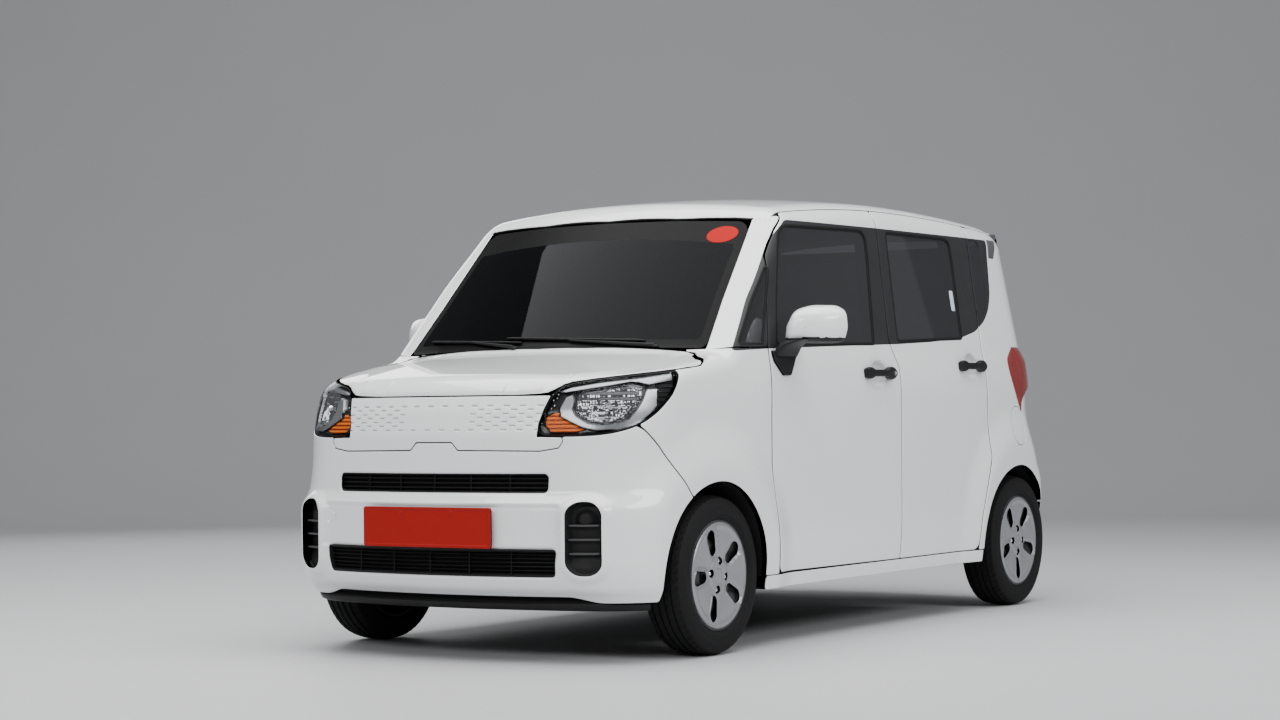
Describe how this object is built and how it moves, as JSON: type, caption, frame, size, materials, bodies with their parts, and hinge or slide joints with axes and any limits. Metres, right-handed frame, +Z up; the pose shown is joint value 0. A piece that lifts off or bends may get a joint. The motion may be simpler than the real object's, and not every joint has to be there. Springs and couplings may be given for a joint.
{
  "type": "kei car",
  "caption": "Boxy one-box kei car with a short sloping bonnet, upright sides, roof spoiler, hinged and sliding side doors, a lifting tailgate and covered steel wheels.",
  "frame": {"origin": "on the ground, under the middle of the car's bounding box", "axes": "+Z up, -Y towards the front bumper, +X towards the car's left side (the driver's side)"},
  "size_m": [1.9674, 3.5951, 1.6999],
  "materials": {
    "paint_white": "gloss",
    "paint_inner": "gloss",
    "black_plastic": "grained",
    "gloss_black": "gloss",
    "cabin_plastic": "grained",
    "seat_fabric": "woven",
    "glass_clear": "clear",
    "glass_tinted": "privacy tint",
    "lamp_clear": "clear lens",
    "lamp_red": "red lens",
    "cover_silver": "silver",
    "tyre_rubber": "matt",
    "steel_dark": "dull",
    "iron": "rough"
  },
  "bodies": {
    "body": {"floor_pan": "paint_inner", "roof": "paint_white", "side_frames": "paint_inner", "sills": "paint_white", "quarter_panel_left": "paint_white", "quarter_panel_right": "paint_white", "tail_lamps": "lamp_red", "side_glass": "glass_tinted", "front_fenders": "paint_white", "a_pillars": "paint_white", "windshield": "glass_clear", "nose_panel": "paint_white", "front_bumper": "paint_white", "bumper_grilles": "black_plastic", "headlamps": "lamp_clear", "rear_bumper": "paint_white", "engine": "iron", "front_subframe": "steel_dark", "rear_axle": "steel_dark", "dashboard": "cabin_plastic", "front_seats": "seat_fabric", "rear_seat": "seat_fabric", "cowl_panel": "black_plastic", "sliding_door_right": "paint_white", "sliding_door_glass_right": "glass_tinted", "sliding_handle_right": "gloss_black"},
    "front_door_left": {"front_door_left": "paint_white", "front_door_glass_left": "glass_clear", "mirror_left": "paint_white", "front_handle_left": "gloss_black"},
    "front_door_right": {"front_door_right": "paint_white", "front_door_glass_right": "glass_clear", "mirror_right": "paint_white", "front_handle_right": "gloss_black"},
    "rear_door_left": {"rear_door_left": "paint_white", "rear_door_glass_left": "glass_tinted", "rear_handle_left": "gloss_black"},
    "tailgate": {"tailgate": "paint_white", "tailgate_glass": "glass_tinted", "roof_spoiler": "paint_white"},
    "hood": {"hood": "paint_white"},
    "fuel_door": {"fuel_door": "paint_white"},
    "steering_wheel": {"steering_wheel": "cabin_plastic"},
    "knuckle_left": {"knuckle_left": "steel_dark"},
    "knuckle_right": {"knuckle_right": "steel_dark"},
    "wheel_front_left": {"tyre_front_left": "tyre_rubber", "wheel_front_left": "cover_silver"},
    "wheel_front_right": {"tyre_front_right": "tyre_rubber", "wheel_front_right": "cover_silver"},
    "wheel_rear_left": {"tyre_rear_left": "tyre_rubber", "wheel_rear_left": "cover_silver"},
    "wheel_rear_right": {"tyre_rear_right": "tyre_rubber", "wheel_rear_right": "cover_silver"}
  },
  "joints": [
    {"name": "front_door_left_hinge", "type": "hinge", "parent": "body", "child": "front_door_left", "pos_m": [0.801, -0.785, 0.65], "axis": [0, 0, -1], "range_deg": [0, 66]},
    {"name": "front_door_right_hinge", "type": "hinge", "parent": "body", "child": "front_door_right", "pos_m": [-0.801, -0.785, 0.65], "axis": [0, 0, 1], "range_deg": [0, 66]},
    {"name": "rear_door_left_hinge", "type": "hinge", "parent": "body", "child": "rear_door_left", "pos_m": [0.801, 0.202, 0.65], "axis": [0, 0, -1], "range_deg": [0, 70]},
    {"name": "tailgate_hinge", "type": "hinge", "parent": "body", "child": "tailgate", "pos_m": [0, 1.504, 1.655], "axis": [1, 0, 0], "range_deg": [0, 85]},
    {"name": "hood_hinge", "type": "hinge", "parent": "body", "child": "hood", "pos_m": [0, -1, 1.066], "axis": [-1, 0, 0], "range_deg": [0, 52]},
    {"name": "fuel_door_hinge", "type": "hinge", "parent": "body", "child": "fuel_door", "pos_m": [0.797, 1.301, 0.768], "axis": [0, 0, -1], "range_deg": [0, 100]},
    {"name": "steering_wheel_turn", "type": "hinge", "parent": "body", "child": "steering_wheel", "pos_m": [0.36, -0.47, 0.935], "axis": [0, 0.9061, 0.423], "range_deg": [-525, 525]},
    {"name": "steer_left", "type": "hinge", "parent": "body", "child": "knuckle_left", "pos_m": [0.652, -1.1525, 0.277], "axis": [0, 0, 1], "range_deg": [-35, 35]},
    {"name": "steer_right", "type": "hinge", "parent": "body", "child": "knuckle_right", "pos_m": [-0.652, -1.1525, 0.277], "axis": [0, 0, 1], "range_deg": [-35, 35]},
    {"name": "wheel_front_left_spin", "type": "hinge", "parent": "knuckle_left", "child": "wheel_front_left", "pos_m": [0.703, -1.1525, 0.277], "axis": [1, 0, 0], "continuous": true},
    {"name": "wheel_front_right_spin", "type": "hinge", "parent": "knuckle_right", "child": "wheel_front_right", "pos_m": [-0.703, -1.1525, 0.277], "axis": [1, 0, 0], "continuous": true},
    {"name": "wheel_rear_left_spin", "type": "hinge", "parent": "body", "child": "wheel_rear_left", "pos_m": [0.7045, 1.3675, 0.277], "axis": [1, 0, 0], "continuous": true},
    {"name": "wheel_rear_right_spin", "type": "hinge", "parent": "body", "child": "wheel_rear_right", "pos_m": [-0.7045, 1.3675, 0.277], "axis": [1, 0, 0], "continuous": true}
  ],
  "couplings": [
    {"joint": "steer_left", "follows": "steering_wheel_turn", "ratio": 0.066667},
    {"joint": "steer_right", "follows": "steering_wheel_turn", "ratio": 0.066667}
  ]
}
